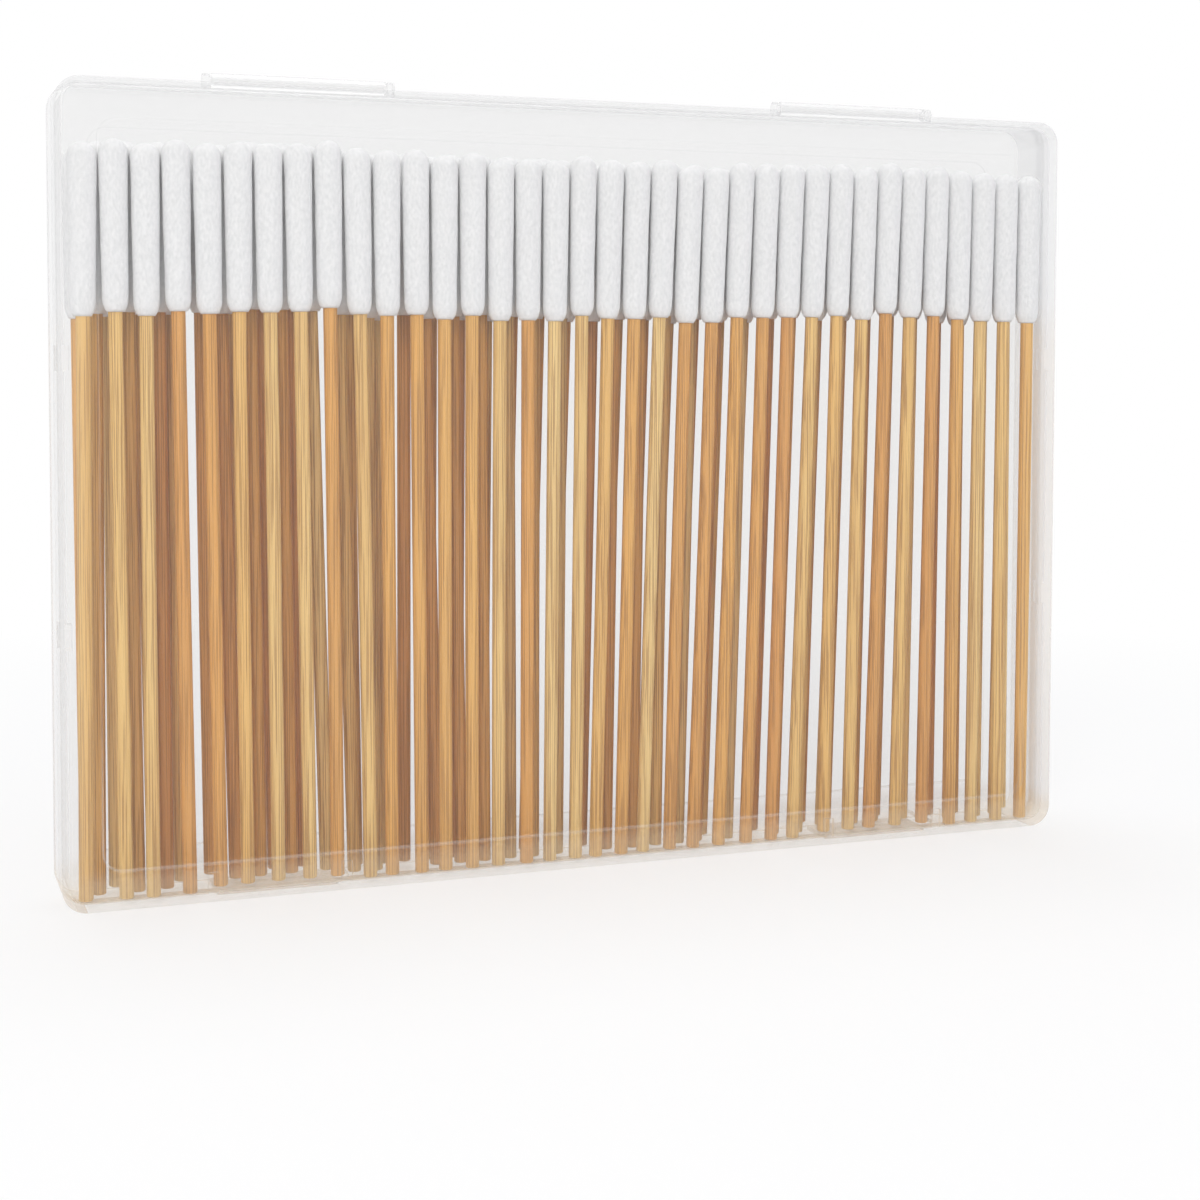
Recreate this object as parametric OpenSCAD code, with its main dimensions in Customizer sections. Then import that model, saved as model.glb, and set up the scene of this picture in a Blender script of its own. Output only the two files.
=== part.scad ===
// Box of cotton swabs: a flat clear case with a snap-hinged lid, full of long swabs
// with cotton buds on bamboo sticks. Millimetres. The closed case stands on its long
// edge: X is the width, the lid faces -Y, Z is up, and the origin is under the middle.

/* [Swab] */
// Length of a swab, from the foot of the stick to the tip of the cotton
swab_l = 152.4; // [110:0.1:200]
// Diameter of the bamboo stick
stick_d = 2.9; // [1.8:0.1:3.4]
// Broken edge round the foot of the stick
foot_chamfer = 0.2; // [0.1:0.05:0.4]
// Diameter of the cotton bud
bud_d = 5.6; // [5:0.1:7]
// Length of the cotton bud
bud_l = 34.5; // [20:0.5:38]
// Cotton left over the end of the stick, at the tip
tip_cover = 3; // [1:0.5:6]
// How much smaller the bud's radius is at its lower end
bud_taper = 0.3; // [0.1:0.1:0.6]
// Radius of the bud's shoulder, where it closes on the stick
shoulder_r = 4.4; // [3:0.1:6]
// Thickness of the cotton where the shoulder ends
neck_t = 0.2; // [0.1:0.05:0.4]

/* [Rows of swabs] */
// Swabs in the front row, side by side
front_count = 36; // [24:1:45]
// Swabs in the middle row, which nests between the front row and has empty places
middle_count = 30; // [12:1:35]
// Swabs in the back row, which is not quite full either
back_count = 34; // [12:1:36]
// Gap between neighbouring buds of one row
bud_gap = 0.6; // [0.6:0.1:2]
// Gap between nested buds of two rows
nest_gap = 0.4; // [0.4:0.1:1.5]
// Slow sideways wander of the feet along a row, with the lean of the swabs
wave_wander = 5.6; // [0:0.1:6]
// Sideways wander of each foot against its neighbours
own_wander = 0.9; // [0:0.05:1]
// Wander of each foot to the front or the back
depth_wander = 0.3; // [0:0.05:0.6]
// Largest difference of a swab's length from the stated one
length_spread = 0.8; // [0:0.1:1.5]

/* [Case] */
// Wall of the case
wall = 1.4; // [1.3:0.1:2]
// Play beside the outer buds of the front row
side_play = 1.3; // [1:0.1:4]
// Play between the buds and the front and back faces
face_play = 0.3; // [0.3:0.1:2]
// Free height above the swabs
head_room = 10.75; // [8:0.05:40]
// Radius of the four corners of the outline
corner_r = 5; // [4:0.5:10]
// Rounding of the rim of the front and back faces
edge_r = 1.2; // [0.6:0.1:1.2]
// Rounding inside, between the faces and the side walls
inner_r = 1; // [0.5:0.1:2]
// Width of the border round the sunk panel of each face
border_w = 8; // [6:0.5:20]
// Depth of the sunk panel
panel_depth = 0.3; // [0.1:0.1:0.5]
// Radius of the corners of the sunk panel
panel_r = 4; // [1:0.5:12]

/* [Seam] */
// Distance of the seam in front of the middle of the case
seam_t = 1; // [0:0.5:2]
// Depth by which the lip of the base reaches into the lid
lip_l = 3; // [2:0.5:3.5]
// Thickness of the lip
lip_w = 0.6; // [0.5:0.1:0.8]
// Clearance between the lip and the lid
lip_clear = 0.1; // [0.05:0.05:0.2]
// Clearance between the two rims at the seam
seam_clear = 0.05; // [0.02:0.01:0.2]
// Height of the snap ridges and guide blocks on the short sides
snap_l = 5; // [3:0.5:10]
// Radius of a snap ridge
snap_r = 0.45; // [0.3:0.05:0.5]
// How far a snap ridge stands out of the lip
snap_rise = 0.25; // [0.1:0.05:0.3]
// Clearance of a snap ridge in its pocket
snap_clear = 0.1; // [0.05:0.05:0.15]
// How far a guide block stands in from the side wall of the lid
guide_w = 1.2; // [0.6:0.1:1.3]

/* [Hinges] */
// Length of each hinge along the top edge
hinge_w = 40; // [20:1:50]
// Distance of each hinge's middle from its short side
hinge_inset = 50; // [30:1:50]
// Height of the hinge axis above the top edge
hinge_rise = 1.2; // [1:0.1:1.4]
// Diameter of the hinge rod
rod_d = 1.6; // [1.2:0.1:1.8]
// Radial running clearance of the hook on the rod
rod_clear = 0.05; // [0.02:0.01:0.1]
// Outer diameter of the hook of the lid
hook_d = 3; // [2.6:0.1:3.2]
// Diameter of the ears that carry the rod
ear_d = 2.8; // [2.4:0.1:2.9]
// Thickness of an ear
ear_w = 1.5; // [1:0.1:3]
// Clearance round the hinge where it turns in the other half
turn_clear = 0.15; // [0.1:0.05:0.2]
// Gap between hook and ear
hook_gap = 0.2; // [0.1:0.05:0.5]
// Width of the hook's mouth, through which the rod snaps in
mouth_w = 1.3; // [1:0.1:1.4]

/* [Latches] */
// Distance of each latch's middle from its short side
latch_inset = 44; // [25:1:50]
// Width of the raised pad over the latch, with its end walls
latch_w = 30; // [24:1:40]
// End wall of the pad beside the tongue, and width of the ribs that stiffen the lid there
latch_end = 2.2; // [1.5:0.1:3]
// Height of those ribs
rib_h = 5.8; // [3:0.1:9]
// Clearance of the tongue at its sides and round the catch
latch_clear = 0.3; // [0.2:0.05:0.4]
// Thickness of the tongue
tongue_t = 0.9; // [0.7:0.1:1]
// Clearance of the tongue above and below it
tongue_lift = 0.1; // [0.05:0.05:0.2]
// Depth by which the tongue reaches past the seam
tongue_reach = 5.6; // [5.2:0.1:6]
// Room behind the tongue for a finger nail
nail_gap = 1.2; // [0.6:0.1:1.4]
// Thickness of the pad above the tongue's recess
pad_t = 1.25; // [1:0.05:1.6]
// Width of the catch
catch_w = 14.7; // [8:0.1:16]
// Depth of the catch, front to back
catch_d = 1.2; // [0.8:0.1:1.4]
// Height of the catch
catch_h = 0.65; // [0.4:0.05:0.7]
// Distance of the catch behind the seam
catch_at = 2.5; // [1.5:0.1:2.6]

/* [Hidden] */
$fn = 64;
SIDES = [-1, 1];
GROUPS = 9;       // bunches that each row is split into
FOOT_GAP = 0.05;  // swab above the floor, so that the edge of a leaning foot clears it
BORE_GAP = 0.01;  // cotton round the stick
RIB_GAP = 0.25;   // ribs of the lid in front of the nearest foot
JOIN = 0.3;       // overlap of shapes that are moulded in one
PAST = 1;         // how far a cut runs past what it cuts

stick_r = stick_d / 2;
bud_r = bud_d / 2;
pitch = bud_d + bud_gap;
row_step = sqrt(pow(bud_d + nest_gap, 2) - pow(pitch / 2, 2));
turn_h = swab_l - bud_l / 2; // the swabs lean about the middle of their buds

case_w = (front_count - 1) * pitch + bud_d + 2 * (side_play + wall);
case_h = swab_l + head_room + FOOT_GAP + 2 * wall;
case_d = 2 * row_step + bud_d + 2 * (face_play + wall);
face_t = case_d / 2;
inner_t = face_t - wall;

lip_u = wall - lip_w; // outer side of the lip, inwards from the outline
lip_end = seam_t + lip_l;
shelf_t = lip_end + 2 * lip_clear; // from here on the lid's wall has its full thickness
snap_heights = [case_h / 3, case_h * 2 / 3];

hinge_x = case_w / 2 - hinge_inset;
hinge_v = case_h + hinge_rise;
hook_l = hinge_w - 2 * (ear_w + hook_gap);

latch_x = case_w / 2 - latch_inset;
tongue_w = latch_w - 2 * (latch_end + latch_clear);
recess_h = tongue_t + 2 * tongue_lift;
pad_h = recess_h + pad_t;
catch_t = seam_t - catch_at;
rib_d = face_play + bud_r - stick_r - depth_wander - RIB_GAP;

CLEAR = [0.84, 0.87, 0.90, 0.45];
BAMBOO = [0.85, 0.68, 0.42];
COTTON = [0.95, 0.95, 0.95];

ROWS = ["front", "middle", "back"];
ROW_PLACES = [front_count, front_count - 1, front_count];
ROW_COUNT = [front_count, min(middle_count, front_count - 1), min(back_count, front_count)];
ROW_SEED = [3, 11, 29];
ROW_PHASE = [0, 10, -10]; // shift of each row's wave, in degrees

// Irregular part of each swab's stand: sideways, in depth and in length, from -1 to 1
OWN = [for (row = [0:2]) [for (k = [0:2]) rands(-1, 1, ROW_COUNT[row], ROW_SEED[row] + k)]];

// Middle of swab i of a row, at its bud. The empty places are spread evenly along the row.
function swab_x(row, i) =
    let (place = floor((i + 0.5) * ROW_PLACES[row] / ROW_COUNT[row]))
    (place - (ROW_PLACES[row] - 1) / 2) * pitch;

function swab_y(row) = (row - 1) * row_step;

// How far the foot of a swab stands off its bud, to +X and to -Y. The wave dies out at both
// ends of a row; in between it takes the feet of the left third to the right and the others
// to the left.
function foot_off_x(row, i) =
    let (along = (i + 0.5) / ROW_COUNT[row])
    wave_wander * sin(180 * along) * sin(225 * (0.38 - along) + ROW_PHASE[row])
        + own_wander * OWN[row][0][i];
function foot_off_y(row, i) = depth_wander * OWN[row][1][i];

function length_of(row, i) = swab_l + length_spread * OWN[row][2][i];

// Height of what a foot at x stands on: the raised pad over a latch, or else the floor,
// which curves up in the round corners
function floor_at(x) =
    let (past = max(abs(x) + stick_r - (case_w / 2 - corner_r), 0))
    abs(abs(x) - latch_x) < latch_w / 2 + stick_r + JOIN ? max(pad_h, wall)
        : corner_r - sqrt(pow(corner_r - wall, 2) - pow(min(past, corner_r - wall), 2));

// Swabs of a row that are in bunch g
function bunch(row, g) =
    [for (i = [0:ROW_COUNT[row] - 1]) if (floor(i * GROUPS / ROW_COUNT[row]) == g - 1) i];

// Puts a swab, drawn upright from its foot at the origin, in its place
module swab_place(row, i) {
    bud_h = length_of(row, i) - bud_l / 2;
    stands_at = floor_at(swab_x(row, i) + foot_off_x(row, i));
    translate([swab_x(row, i), swab_y(row), stands_at + FOOT_GAP + bud_h])
        rotate([-asin(foot_off_y(row, i) / turn_h), -asin(foot_off_x(row, i) / turn_h), 0])
            translate([0, 0, -bud_h]) children();
}

module stick(length) {
    top = length - tip_cover;
    rotate_extrude()
        polygon([[0, 0], [stick_r - foot_chamfer, 0], [stick_r, foot_chamfer],
                 [stick_r, top], [0, top]]);
}

// Half section of the cotton bud, its lower end at y = 0, with the bore for the stick
module bud_section() {
    low_r = bud_r - bud_taper;
    centre_x = low_r - shoulder_r;
    shoulder_h = sqrt(pow(shoulder_r, 2) - pow(stick_r + neck_t - centre_x, 2));
    dome_y = bud_l - bud_r;
    difference() {
        union() {
            intersection() {
                translate([centre_x, shoulder_h]) circle(shoulder_r);
                square([bud_d, shoulder_h]);
            }
            polygon([[0, shoulder_h], [low_r, shoulder_h], [bud_r, dome_y], [0, dome_y]]);
            intersection() {
                translate([0, dome_y]) circle(bud_r);
                translate([0, dome_y]) square(bud_d);
            }
        }
        translate([-PAST, -PAST])
            square([stick_r + BORE_GAP + PAST, bud_l - tip_cover + BORE_GAP + PAST]);
    }
}

module sticks(row, g) {
    color(BAMBOO)
        for (i = bunch(row, g)) swab_place(row, i) stick(length_of(row, i));
}

module buds(row, g) {
    color(COTTON)
        for (i = bunch(row, g)) swab_place(row, i)
            translate([0, 0, length_of(row, i) - bud_l]) rotate_extrude() bud_section();
}

// The case is drawn lying on its back: x is the width, y the height, z the distance in
// front of the middle. This stands it up.
module stand() {
    rotate([90, 0, 0]) children();
}

// Takes a section, x inwards from the outline and y along z, all round the case
module round_the_rim() {
    spans = [case_w, case_h];
    for (k = [0:3]) {
        run = spans[k % 2] - 2 * corner_r;
        across = spans[(k + 1) % 2];
        translate([0, case_h / 2, 0]) rotate([0, 0, 90 * k]) {
            translate([-run / 2, -across / 2, 0])
                rotate([90, 0, 90]) linear_extrude(run) children();
            translate([run / 2, across / 2 - corner_r, 0])
                rotate_extrude(angle = 90)
                    translate([corner_r, 0]) mirror([1, 0]) children();
        }
    }
}

// Section of a face and its side wall: the outer face is at y = 0, the rim at rim_y
module shell_section(rim_y) {
    difference() {
        union() {
            square([wall, rim_y]);
            square([corner_r, wall]);
            translate([wall, wall]) difference() {
                translate([-JOIN, -JOIN]) square(inner_r + JOIN);
                translate([inner_r, inner_r]) circle(inner_r);
            }
        }
        difference() {
            translate([-PAST, -PAST]) square(edge_r + PAST);
            translate([edge_r, edge_r]) circle(edge_r);
        }
    }
}

// The base's side wall ends at the seam, and its lip goes on into the lid
module base_section() {
    shell_section(face_t + seam_t);
    translate([lip_u, wall]) square([lip_w, face_t + lip_end - wall]);
}

// The lid's side wall is cut back inside, where it takes the lip
module lid_section() {
    difference() {
        shell_section(face_t - seam_t - seam_clear);
        translate([lip_u - lip_clear, face_t - shelf_t]) square([wall, case_d]);
    }
}

module rounded_rect(w, h, r) {
    square([w - 2 * r, h], center = true);
    square([w, h - 2 * r], center = true);
    for (sx = SIDES) for (sy = SIDES)
        translate([sx * (w / 2 - r), sy * (h / 2 - r)]) circle(r);
}

// Flat part of a face, its outside at z = 0, with the sunk panel
module face_plate() {
    difference() {
        translate([corner_r - case_w / 2, corner_r, 0])
            cube([case_w - 2 * corner_r, case_h - 2 * corner_r, wall]);
        translate([0, case_h / 2, -PAST]) linear_extrude(PAST + panel_depth)
            rounded_rect(case_w - 2 * border_w, case_h - 2 * border_w, panel_r);
    }
}

// A round bar on the hinge axis, its middle at x
module on_hinge(x, length, d) {
    translate([x, hinge_v, seam_t]) rotate([0, 90, 0])
        cylinder(h = length, d = d, center = true);
}

// Where the ears of the hinge at x are
module at_ears(x) {
    for (side = SIDES) translate([x + side * (hinge_w - ear_w) / 2, 0, 0]) children();
}

// The base's half of a hinge: two ears and the rod between them
module rod_and_ears(x) {
    on_hinge(x, hinge_w - ear_w, rod_d);
    at_ears(x) {
        on_hinge(0, ear_w, ear_d);
        translate([-ear_w / 2, case_h - JOIN, seam_t - ear_d / 2])
            cube([ear_w, hinge_rise + JOIN, ear_d / 2]);
    }
}

// The lid's half of a hinge: a barrel on a web, open behind so that it snaps on the rod
module hook(x) {
    difference() {
        union() {
            on_hinge(x, hook_l, hook_d);
            translate([x - hook_l / 2, case_h - JOIN, seam_t + seam_clear])
                cube([hook_l, hinge_rise + JOIN, hook_d / 2 - seam_clear]);
        }
        on_hinge(x, 2 * hook_l, rod_d + 2 * rod_clear);
        translate([x - hook_l, hinge_v, seam_t]) rotate([-45, 0, 0])
            translate([0, 0, -mouth_w / 2]) cube([2 * hook_l, hook_d, mouth_w]);
    }
}

// A ridge up the lip's short side, or the pocket that takes it
module snap(side, v, r, length) {
    translate([side * (case_w / 2 - lip_u - snap_rise + snap_r), v, seam_t + lip_l / 2])
        rotate([90, 0, 0]) cylinder(h = length, r = r, center = true);
}

// The ridge under the pad that holds the tongue: sloped in front and square behind
module catch_ridge(x) {
    translate([x - catch_w / 2, recess_h, catch_t])
        rotate([90, 0, 90]) linear_extrude(catch_w)
            polygon([[JOIN, 0], [0, 0], [-catch_h, -catch_d / 2], [-catch_h, -catch_d],
                     [JOIN, -catch_d]]);
}

// The lid's springy tongue, with the window that hooks over the catch
module tongue(x) {
    window_w = catch_w + 2 * latch_clear;
    difference() {
        translate([x - tongue_w / 2, tongue_lift, seam_t - tongue_reach])
            cube([tongue_w, tongue_t, shelf_t + JOIN - seam_t + tongue_reach]);
        translate([x - window_w / 2, -PAST, catch_t - catch_d - latch_clear])
            cube([window_w, recess_h + PAST, catch_d + 2 * latch_clear]);
    }
}

// What is left open round the tongue at x, from z = back to where the lid's wall is whole
module tongue_space(x, back) {
    width = tongue_w + 2 * latch_clear;
    translate([x - width / 2, -PAST, back])
        cube([width, recess_h + PAST, shelf_t - back]);
}

module case_base() {
    color(CLEAR) stand() {
        difference() {
            union() {
                translate([0, 0, -face_t]) {
                    round_the_rim() base_section();
                    face_plate();
                }
                for (side = SIDES) {
                    for (v = snap_heights) snap(side, v, snap_r, snap_l);
                    translate([side * latch_x - latch_w / 2, lip_u, -inner_t - JOIN])
                        cube([latch_w, pad_h - lip_u, inner_t + JOIN + lip_end]);
                }
            }
            for (side = SIDES) {
                on_hinge(side * hinge_x, hook_l + 2 * hook_gap, hook_d + 2 * turn_clear);
                tongue_space(side * latch_x, seam_t - tongue_reach - nail_gap);
            }
        }
        for (side = SIDES) {
            rod_and_ears(side * hinge_x);
            catch_ridge(side * latch_x);
        }
    }
}

module case_lid() {
    color(CLEAR) stand() {
        difference() {
            translate([0, 0, face_t]) mirror([0, 0, 1]) {
                round_the_rim() lid_section();
                face_plate();
            }
            for (side = SIDES) {
                tongue_space(side * latch_x, seam_t);
                for (v = snap_heights)
                    snap(side, v, snap_r + snap_clear, snap_l + 2 * snap_clear);
                at_ears(side * hinge_x)
                    on_hinge(0, ear_w + 2 * turn_clear, ear_d + 2 * turn_clear);
            }
        }
        for (side = SIDES) {
            hook(side * hinge_x);
            tongue(side * latch_x);
            for (v = snap_heights)
                translate([side * (case_w / 2 - wall - guide_w / 2 + JOIN / 2) - (guide_w + JOIN) / 2,
                           v - snap_l / 2, shelf_t])
                    cube([guide_w + JOIN, snap_l, inner_t - shelf_t + JOIN]);
            for (end = SIDES)
                translate([side * latch_x + end * (latch_w - latch_end) / 2 - latch_end / 2,
                           wall - JOIN, inner_t - rib_d])
                    cube([latch_end, rib_h - wall + JOIN, rib_d + JOIN]);
        }
    }
}

case_base();
case_lid();
for (row = [0:2]) for (g = [1:GROUPS]) {
    sticks(row, g);
    buds(row, g);
}
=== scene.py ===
"""Looks of a box of cotton swabs: a flat clear case that stands on its long edge, full of
long swabs with cotton buds on bamboo sticks. Metres, in the CAD model's own frame."""

import math
import random

import bmesh
import bpy
from mathutils import Matrix, Vector, noise


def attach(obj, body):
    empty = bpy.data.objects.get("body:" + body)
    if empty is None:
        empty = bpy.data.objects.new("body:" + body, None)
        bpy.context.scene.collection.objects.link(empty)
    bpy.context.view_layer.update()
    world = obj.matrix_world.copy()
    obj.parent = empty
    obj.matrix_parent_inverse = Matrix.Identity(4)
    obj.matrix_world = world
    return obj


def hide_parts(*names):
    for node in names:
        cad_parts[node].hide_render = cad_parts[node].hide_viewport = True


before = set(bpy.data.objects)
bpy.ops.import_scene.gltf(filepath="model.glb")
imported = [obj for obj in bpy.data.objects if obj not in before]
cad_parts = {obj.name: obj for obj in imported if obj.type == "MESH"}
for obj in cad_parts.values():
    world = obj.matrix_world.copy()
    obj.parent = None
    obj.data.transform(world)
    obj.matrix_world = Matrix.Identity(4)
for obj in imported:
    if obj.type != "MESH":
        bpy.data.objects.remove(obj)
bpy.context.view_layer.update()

MM = 0.001
ROWS = ("front", "middle", "back")
BUNCHES = range(1, 10)

STICK_R = 1.45 * MM
STICK_SIDES = 18
STICK_LENGTHS = 8          # straight stretches that a stick's slight bow is drawn with
BOW = 0.22 * MM            # most that a stick bows between its ends
FOOT_EDGE = 0.2 * MM

BUD_R = 2.8 * MM
BUD_L = 34.5 * MM
BUD_LOW_R = 2.5 * MM
BUD_SIDES = 28
TIP_COVER = 3 * MM
SHOULDER_R = 4.4 * MM
NECK_T = 0.2 * MM
FUZZ = 0.1 * MM            # loose fibres stand out this far from the wound cotton
LUMP = 0.09 * MM           # how far the wound cotton swells and sinks
LUMP_SIZE = 3.4 * MM

PANEL_HALF_X, PANEL_HALF_Z = 106 * MM, 75 * MM     # the sunk panels, up to their rounded step
PANEL_MID_Z = 83 * MM
PANEL_R = 4 * MM
STEP_W = 0.3 * MM
STEP_SEEN = (40 * MM, 10 * MM)       # heights between which the step starts to show more
SIDE_RIM = (106 * MM, 113 * MM)      # distances and heights between which the rims grow milkier
LOW_RIM = (9 * MM, 4 * MM)
TOP_RIM = (161 * MM, 166 * MM)

draw = random.Random(41)


# Materials

def srgb(code):
    """An sRGB hex colour as linear RGBA."""
    shares = [int(code[i:i + 2], 16) / 255 for i in (0, 2, 4)]
    return (*[s / 12.92 if s <= 0.04045 else ((s + 0.055) / 1.055) ** 2.4 for s in shares], 1)


def add(tree, kind, inputs=None, **settings):
    """Adds a shader node with its settings. An input takes a value, or the output that feeds it."""
    node = tree.nodes.new("ShaderNode" + kind)
    for name, value in settings.items():
        setattr(node, name, value)
    for name, value in (inputs or {}).items():
        if isinstance(value, bpy.types.NodeSocket):
            tree.links.new(value, node.inputs[name])
        else:
            node.inputs[name].default_value = value
    return node


def new_material(name):
    """An empty node material: the material, its node tree and its output node."""
    material = bpy.data.materials.new(name)
    material.use_nodes = True
    material.node_tree.nodes.clear()
    return material, material.node_tree, add(material.node_tree, "OutputMaterial")


def show(tree, output, shader):
    tree.links.new(shader.outputs[0], output.inputs["Surface"])


def share_of(tree, value, low, high):
    """0 where the value is under low, 1 where it is over high, and smooth between."""
    return add(tree, "MapRange", {"Value": value, "From Min": low, "From Max": high},
               interpolation_type="SMOOTHSTEP").outputs[0]


def panel_step(tree, aside, height):
    """1 on the small rounded step where each sunk panel meets its border, 0 away from it."""
    above = add(tree, "Math", {0: height, 1: PANEL_MID_Z}, operation="SUBTRACT")
    above = add(tree, "Math", {0: above.outputs[0]}, operation="ABSOLUTE")
    corner = add(tree, "CombineXYZ", {"X": aside, "Z": above.outputs[0]})
    past = add(tree, "VectorMath", {
        0: corner.outputs[0], 1: (PANEL_HALF_X - PANEL_R, 0, PANEL_HALF_Z - PANEL_R)},
        operation="SUBTRACT")
    past = add(tree, "VectorMath", {0: past.outputs[0], 1: (0, 0, 0)}, operation="MAXIMUM")
    past = add(tree, "VectorMath", {0: past.outputs[0]}, operation="LENGTH")
    off = add(tree, "Math", {0: past.outputs["Value"], 1: PANEL_R}, operation="SUBTRACT")
    off = add(tree, "Math", {0: off.outputs[0]}, operation="ABSOLUTE")
    return share_of(tree, off.outputs[0], STEP_W, STEP_W / 3)


def clear_polypropylene():
    """Injection-moulded clear polypropylene: see-through panels with a faint milky veil, whiter
    along the thick rims and where a wall is seen edge-on, a soft gloss, and a very shallow
    waviness where the melt flowed."""
    material, tree, output = new_material("clear polypropylene")
    place = add(tree, "TexCoord").outputs["Object"]
    flow = add(tree, "TexNoise", {"Vector": place, "Scale": 1 / (14 * MM), "Detail": 1})
    waves = add(tree, "Bump", {"Height": flow.outputs["Fac"], "Strength": 0.15,
                               "Distance": 0.05 * MM})
    at = add(tree, "SeparateXYZ", {0: place}).outputs
    aside = add(tree, "Math", {0: at["X"]}, operation="ABSOLUTE").outputs[0]
    low = share_of(tree, at["Z"], *LOW_RIM)
    rim = add(tree, "Math", {0: share_of(tree, aside, *SIDE_RIM), 1: low}, operation="MAXIMUM")
    rim = add(tree, "Math", {0: rim.outputs[0], 1: share_of(tree, at["Z"], *TOP_RIM)},
              operation="MAXIMUM")
    # Along the lower edge the plastic is tinted warm: this is painted light bounced from the bamboo
    # inside it, not a colour of the plastic.
    milk_and_painted_bounce = add(tree, "Mix", {"Factor": low, "A": srgb("F3F3F4"), "B": srgb("EBE0CE")},
               data_type="RGBA")
    wall = add(tree, "BsdfPrincipled", {
        "Base Color": milk_and_painted_bounce.outputs[2], "Roughness": 0.1, "IOR": 1.49,
        "Normal": waves.outputs["Normal"]})
    edge_on = add(tree, "LayerWeight", {"Blend": 0.25})
    veil = add(tree, "MapRange", {"Value": rim.outputs[0], "To Min": 0.03, "To Max": 0.07})
    veil = add(tree, "Math", {0: low, 1: 0.07, 2: veil.outputs[0]}, operation="MULTIPLY_ADD")
    seen = add(tree, "Math", {0: edge_on.outputs["Fresnel"], 1: 0.32, 2: veil.outputs[0]},
               operation="MULTIPLY_ADD")
    step = add(tree, "MapRange", {"Value": at["Z"], "From Min": STEP_SEEN[0],
                                  "From Max": STEP_SEEN[1], "To Min": 0.03, "To Max": 0.12})
    seen = add(tree, "Math", {0: panel_step(tree, aside, at["Z"]), 1: step.outputs[0],
                              2: seen.outputs[0]}, operation="MULTIPLY_ADD")
    clear = add(tree, "BsdfTransparent", {"Color": srgb("FBFBFB")})
    # Lamps and the light between the swabs pass straight through, as through any thin wall.
    path = add(tree, "LightPath").outputs
    lit = add(tree, "Math", {0: path["Is Shadow Ray"], 1: path["Is Diffuse Ray"]},
              operation="MAXIMUM")
    look = add(tree, "MixShader", {0: seen.outputs[0], 1: clear.outputs[0], 2: wall.outputs[0]})
    passed = add(tree, "BsdfTransparent", {"Color": (1, 1, 1, 1)})
    show(tree, output, add(tree, "MixShader", {0: lit.outputs[0], 1: look.outputs[0],
                                               2: passed.outputs[0]}))
    return material


def bamboo():
    """Turned bamboo: straw to golden, browner in long soft clouds, with fine darker fibres all
    along the stick and a dull cut surface."""
    material, tree, output = new_material("bamboo")
    place = add(tree, "TexCoord").outputs["Object"]
    tint = add(tree, "Attribute", attribute_name="tint").outputs["Fac"]
    stick_colour = add(tree, "ValToRGB", {"Fac": tint})
    ramp = stick_colour.color_ramp.elements
    ramp[0].color, ramp[1].color = srgb("ECCC8A"), srgb("D7984F")
    for at, code in ((0.35, "E9BE72"), (0.75, "E3AA57")):
        ramp.new(at).color = srgb(code)
    cloud_place = add(tree, "Mapping", {
        "Vector": place, "Scale": (1 / (3 * MM), 1 / (3 * MM), 1 / (38 * MM))})
    clouds = add(tree, "TexNoise", {"Vector": cloud_place.outputs[0], "Scale": 1, "Detail": 1})
    browned = add(tree, "MapRange", {"Value": clouds.outputs["Fac"], "From Min": 0.4,
                                     "From Max": 0.75, "To Max": 0.42})
    cloudy = add(tree, "Mix", {"Factor": browned.outputs[0], "A": stick_colour.outputs[0],
                               "B": srgb("D09E5A")}, data_type="RGBA")
    fibre_place = add(tree, "Mapping", {
        "Vector": place, "Scale": (1 / (0.27 * MM), 1 / (0.27 * MM), 1 / (30 * MM))})
    fibres = add(tree, "TexNoise", {"Vector": fibre_place.outputs[0], "Scale": 1, "Detail": 2})
    streaks = add(tree, "MapRange", {"Value": fibres.outputs["Fac"], "From Min": 0.48,
                                     "From Max": 0.6, "To Max": 0.6})
    colour = add(tree, "Mix", {"Factor": streaks.outputs[0], "A": cloudy.outputs[2],
                               "B": srgb("96632A")}, data_type="RGBA")
    ridges = add(tree, "Bump", {"Height": fibres.outputs["Fac"], "Strength": 0.4,
                                "Distance": 0.06 * MM})
    shader = add(tree, "BsdfPrincipled", {
        "Base Color": colour.outputs[2], "Roughness": 0.62, "Normal": ridges.outputs[0]})
    show(tree, output, shader)
    return material


def wound_cotton():
    """Bleached cotton, wound tight on the stick: matt white, faintly mottled, with a soft rim
    where the loose fibres catch the light."""
    material, tree, output = new_material("wound cotton")
    place = add(tree, "TexCoord").outputs["Object"]
    fibre_place = add(tree, "Mapping", {
        "Vector": place, "Scale": (1 / (0.5 * MM), 1 / (0.5 * MM), 1 / (0.9 * MM))})
    fibres = add(tree, "TexNoise", {"Vector": fibre_place.outputs[0], "Scale": 1, "Detail": 4})
    shade = add(tree, "MapRange", {"Value": fibres.outputs["Fac"], "From Min": 0.3,
                                   "From Max": 0.7})
    colour = add(tree, "Mix", {"Factor": shade.outputs[0], "A": srgb("DFE0E1"),
                               "B": srgb("EFEFF0")}, data_type="RGBA")
    fluff = add(tree, "Bump", {"Height": fibres.outputs["Fac"], "Strength": 0.5,
                               "Distance": 0.12 * MM})
    shader = add(tree, "BsdfPrincipled", {
        "Base Color": colour.outputs[2], "Roughness": 0.95, "Sheen Weight": 0.25,
        "Sheen Roughness": 0.6, "Specular IOR Level": 0.2, "Normal": fluff.outputs[0]})
    show(tree, output, shader)
    return material


CASE, BAMBOO, COTTON = clear_polypropylene(), bamboo(), wound_cotton()


# Swabs

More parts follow.
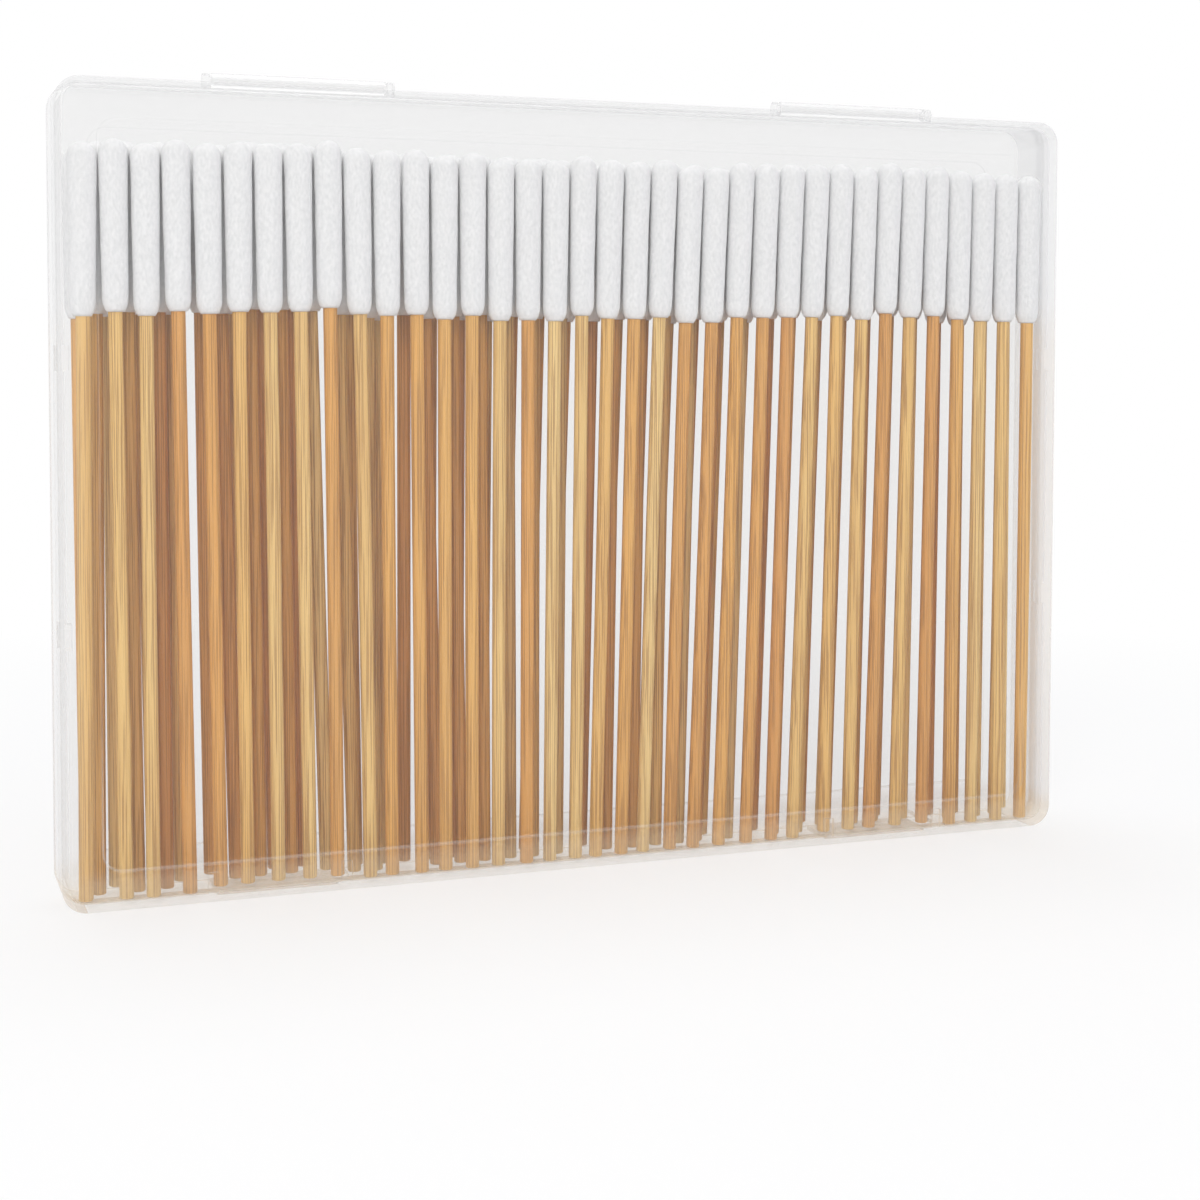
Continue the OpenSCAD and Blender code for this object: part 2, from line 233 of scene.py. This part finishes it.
def stick_ends(node):
    """The foot and the top of each stick in a CAD node of sticks, from left to right."""
    bm = bmesh.new()
    bm.from_mesh(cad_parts[node].data)
    bmesh.ops.remove_doubles(bm, verts=bm.verts, dist=1e-6)
    unread, ends = set(bm.verts), []
    while unread:
        reached = [unread.pop()]
        for vert in reached:
            near = {e.other_vert(vert) for e in vert.link_edges} & unread
            unread -= near
            reached += near
        low = min(v.co.z for v in reached)
        high = max(v.co.z for v in reached)
        rings = [[v.co for v in reached if abs(v.co.z - z) < 0.15 * MM] for z in (low, high)]
        ends.append([sum(ring, Vector()) / len(ring) for ring in rings])
    bm.free()
    return sorted(ends, key=lambda e: e[1].x)


def along(foot, top):
    """The placing that takes an upright shape from the origin to a stick's foot."""
    return Matrix.Translation(foot) @ (top - foot).to_track_quat("Z", "Y").to_matrix().to_4x4()


def turned(bm, outline, sides):
    """Turns an outline of (radius, height) pairs about the Z axis and gives its vertices."""
    others = set(bm.verts)
    start = [bm.verts.new((r, 0, h)) for r, h in outline]
    edges = [bm.edges.new(pair) for pair in zip(start, start[1:])]
    bmesh.ops.spin(bm, geom=start + edges, cent=(0, 0, 0), axis=(0, 0, 1), angle=math.tau,
                   steps=sides, use_merge=True)
    bmesh.ops.remove_doubles(bm, verts=[v for v in bm.verts if v not in others], dist=1e-7)
    return [v for v in bm.verts if v not in others]


def add_stick(bm, foot, top, tint):
    length = (top - foot).length
    outline = [(0, 0), (STICK_R - FOOT_EDGE, 0), (STICK_R, FOOT_EDGE)]
    outline += [(STICK_R, length * k / STICK_LENGTHS) for k in range(1, STICK_LENGTHS + 1)]
    bow = Matrix.Rotation(draw.uniform(0, math.tau), 3, "Z") @ Vector((draw.uniform(0, BOW), 0, 0))
    place = along(foot, top)
    for v in turned(bm, outline + [(0, length)], STICK_SIDES):
        v[bm.verts.layers.float["tint"]] = tint
        v.co = place @ (v.co + bow * math.sin(math.pi * v.co.z / length))


def bud_outline():
    """Half outline of a bud from its neck to its tip, as (radius, height) pairs."""
    neck_r = STICK_R + NECK_T
    centre_r = BUD_LOW_R - SHOULDER_R
    rise = math.sqrt(SHOULDER_R ** 2 - (neck_r - centre_r) ** 2)
    turn = math.asin(rise / SHOULDER_R)
    dome = BUD_L - BUD_R
    outline = [(0, 0.6 * MM), (STICK_R * 0.9, 0.3 * MM)]
    for k in range(6):
        a = -turn * (1 - k / 5)
        outline.append((centre_r + SHOULDER_R * math.cos(a), rise + SHOULDER_R * math.sin(a)))
    for k in range(1, 15):
        share = k / 14
        outline.append((BUD_LOW_R + (BUD_R - BUD_LOW_R) * share, rise + (dome - rise) * share))
    for k in range(1, 7):
        a = math.pi / 2 * k / 6
        outline.append((BUD_R * math.cos(a) if k < 6 else 0, dome + BUD_R * math.sin(a)))
    return outline


def add_bud(bm, foot, top, tint):
    place = along(foot, top) @ Matrix.Translation((0, 0, (top - foot).length + TIP_COVER - BUD_L))
    for v in turned(bm, bud_outline(), BUD_SIDES):
        v[bm.verts.layers.float["tint"]] = tint
        out = Vector((v.co.x, v.co.y, 0))
        v.co = place @ v.co
        if out.length > STICK_R:
            swell = FUZZ + LUMP * noise.noise(v.co / LUMP_SIZE)
            v.co += place.to_3x3() @ out.normalized() * swell


def add_piece(name, node, material, add_shape, swabs):
    """Makes one piece of a bunch's sticks or buds, which stands for the CAD node."""
    bm = bmesh.new()
    bm.verts.layers.float.new("tint")
    for foot, top, tint in swabs:
        add_shape(bm, foot, top, tint)
    bmesh.ops.recalc_face_normals(bm, faces=bm.faces)
    for face in bm.faces:
        face.smooth = True
    mesh = bpy.data.meshes.new(name)
    bm.to_mesh(mesh)
    bm.free()
    mesh.materials.append(material)
    piece = bpy.data.objects.new(name, mesh)
    bpy.context.scene.collection.objects.link(piece)
    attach(piece, "case")
    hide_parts(node)


for row in ROWS:
    for bunch in BUNCHES:
        swabs = [(foot, top, draw.random()) for foot, top in stick_ends(f"{row}_sticks_{bunch}")]
        add_piece(f"bamboo_sticks_{row}_{bunch}", f"{row}_sticks_{bunch}", BAMBOO,
                  add_stick, swabs)
        add_piece(f"cotton_buds_{row}_{bunch}", f"{row}_buds_{bunch}", COTTON,
                  add_bud, swabs)

for half in ("case_base", "case_lid"):
    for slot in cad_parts[half].material_slots:
        slot.material = CASE


# Stage, light and camera

def white_to_sight(tree):
    """1 for a ray that sees: from the camera, off a gloss or through the clear case."""
    path = add(tree, "LightPath").outputs
    seen = add(tree, "Math", {0: path["Is Camera Ray"], 1: path["Is Glossy Ray"]},
               operation="MAXIMUM")
    return add(tree, "Math", {0: seen.outputs[0], 1: path["Is Transmission Ray"]},
               operation="MAXIMUM").outputs[0]


def add_floor():
    material, tree, output = new_material("white paper sweep")
    place = add(tree, "TexCoord").outputs["Object"]
    off = add(tree, "VectorMath", {0: place}, operation="LENGTH")
    far = add(tree, "MapRange", {"Value": off.outputs["Value"], "From Min": 0.12,
                                 "From Max": 0.42, "To Min": 0.62, "To Max": 1})
    share = add(tree, "Math", {0: far.outputs[0], 1: white_to_sight(tree)},
                operation="MULTIPLY")
    paper = add(tree, "BsdfDiffuse", {"Color": srgb("F1F2F4")})
    white = add(tree, "Emission", {"Color": (1, 1, 1, 1), "Strength": 1})
    show(tree, output, add(tree, "MixShader", {0: share.outputs[0], 1: paper.outputs[0],
                                               2: white.outputs[0]}))
    bm = bmesh.new()
    bmesh.ops.create_grid(bm, x_segments=1, y_segments=1, size=4)
    mesh = bpy.data.meshes.new("floor")
    bm.to_mesh(mesh)
    bm.free()
    mesh.materials.append(material)
    floor = bpy.data.objects.new("floor", mesh)
    bpy.context.scene.collection.objects.link(floor)


def add_world(strength):
    world = bpy.data.worlds.new("studio")
    world.use_nodes = True
    tree = world.node_tree
    tree.nodes.clear()
    light = add(tree, "Background", {"Color": srgb("FAFAFC"), "Strength": strength})
    white = add(tree, "Background", {"Color": (1, 1, 1, 1), "Strength": 1})
    mixed = add(tree, "MixShader", {0: white_to_sight(tree), 1: light.outputs[0],
                                    2: white.outputs[0]})
    tree.links.new(mixed.outputs[0], add(tree, "OutputWorld").inputs["Surface"])
    bpy.context.scene.world = world


def add_lamp(name, place, aim, size, watts, colour):
    lamp = bpy.data.lights.new(name, "AREA")
    lamp.shape = "DISK"
    lamp.size = size
    lamp.energy = watts
    lamp.color = srgb(colour)[:3]
    holder = bpy.data.objects.new(name, lamp)
    holder.location = place
    holder.rotation_euler = (Vector(aim) - Vector(place)).to_track_quat("-Z", "Y").to_euler()
    bpy.context.scene.collection.objects.link(holder)


def add_camera():
    """A 60 mm lens, where the edges of the case in the photograph put it."""
    data = bpy.data.cameras.new("camera")
    data.sensor_width = 36
    data.lens = 60
    data.shift_y = -0.125
    data.clip_start, data.clip_end = 0.02, 20
    camera = bpy.data.objects.new("camera", data)
    turn, tilt, roll = (math.radians(a) for a in (20.42, 2.76, -0.126))
    camera.matrix_world = (Matrix.Translation((-0.15101, -0.41353, 0.1118))
                           @ Matrix.Rotation(-turn, 4, "Z")
                           @ Matrix.Rotation(math.pi / 2 - tilt, 4, "X")
                           @ Matrix.Rotation(-roll, 4, "Z"))
    bpy.context.scene.collection.objects.link(camera)
    bpy.context.scene.camera = camera


add_floor()
add_world(0.55)
add_lamp("key", (-0.55, -0.95, 0.75), (0, 0, 0.09), 0.7, 7.0, "FFFDF8")
add_lamp("fill", (1.1, -0.55, 0.6), (0, 0, 0.08), 0.8, 2.5, "FCFCFF")
add_lamp("top", (0.0, 0.25, 1.1), (0, 0, 0.1), 0.7, 4.0, "FFFFFF")
add_camera()

scene = bpy.context.scene
scene.view_settings.view_transform = "Standard"
scene.cycles.transparent_max_bounces = 32
scene.cycles.use_light_tree = False
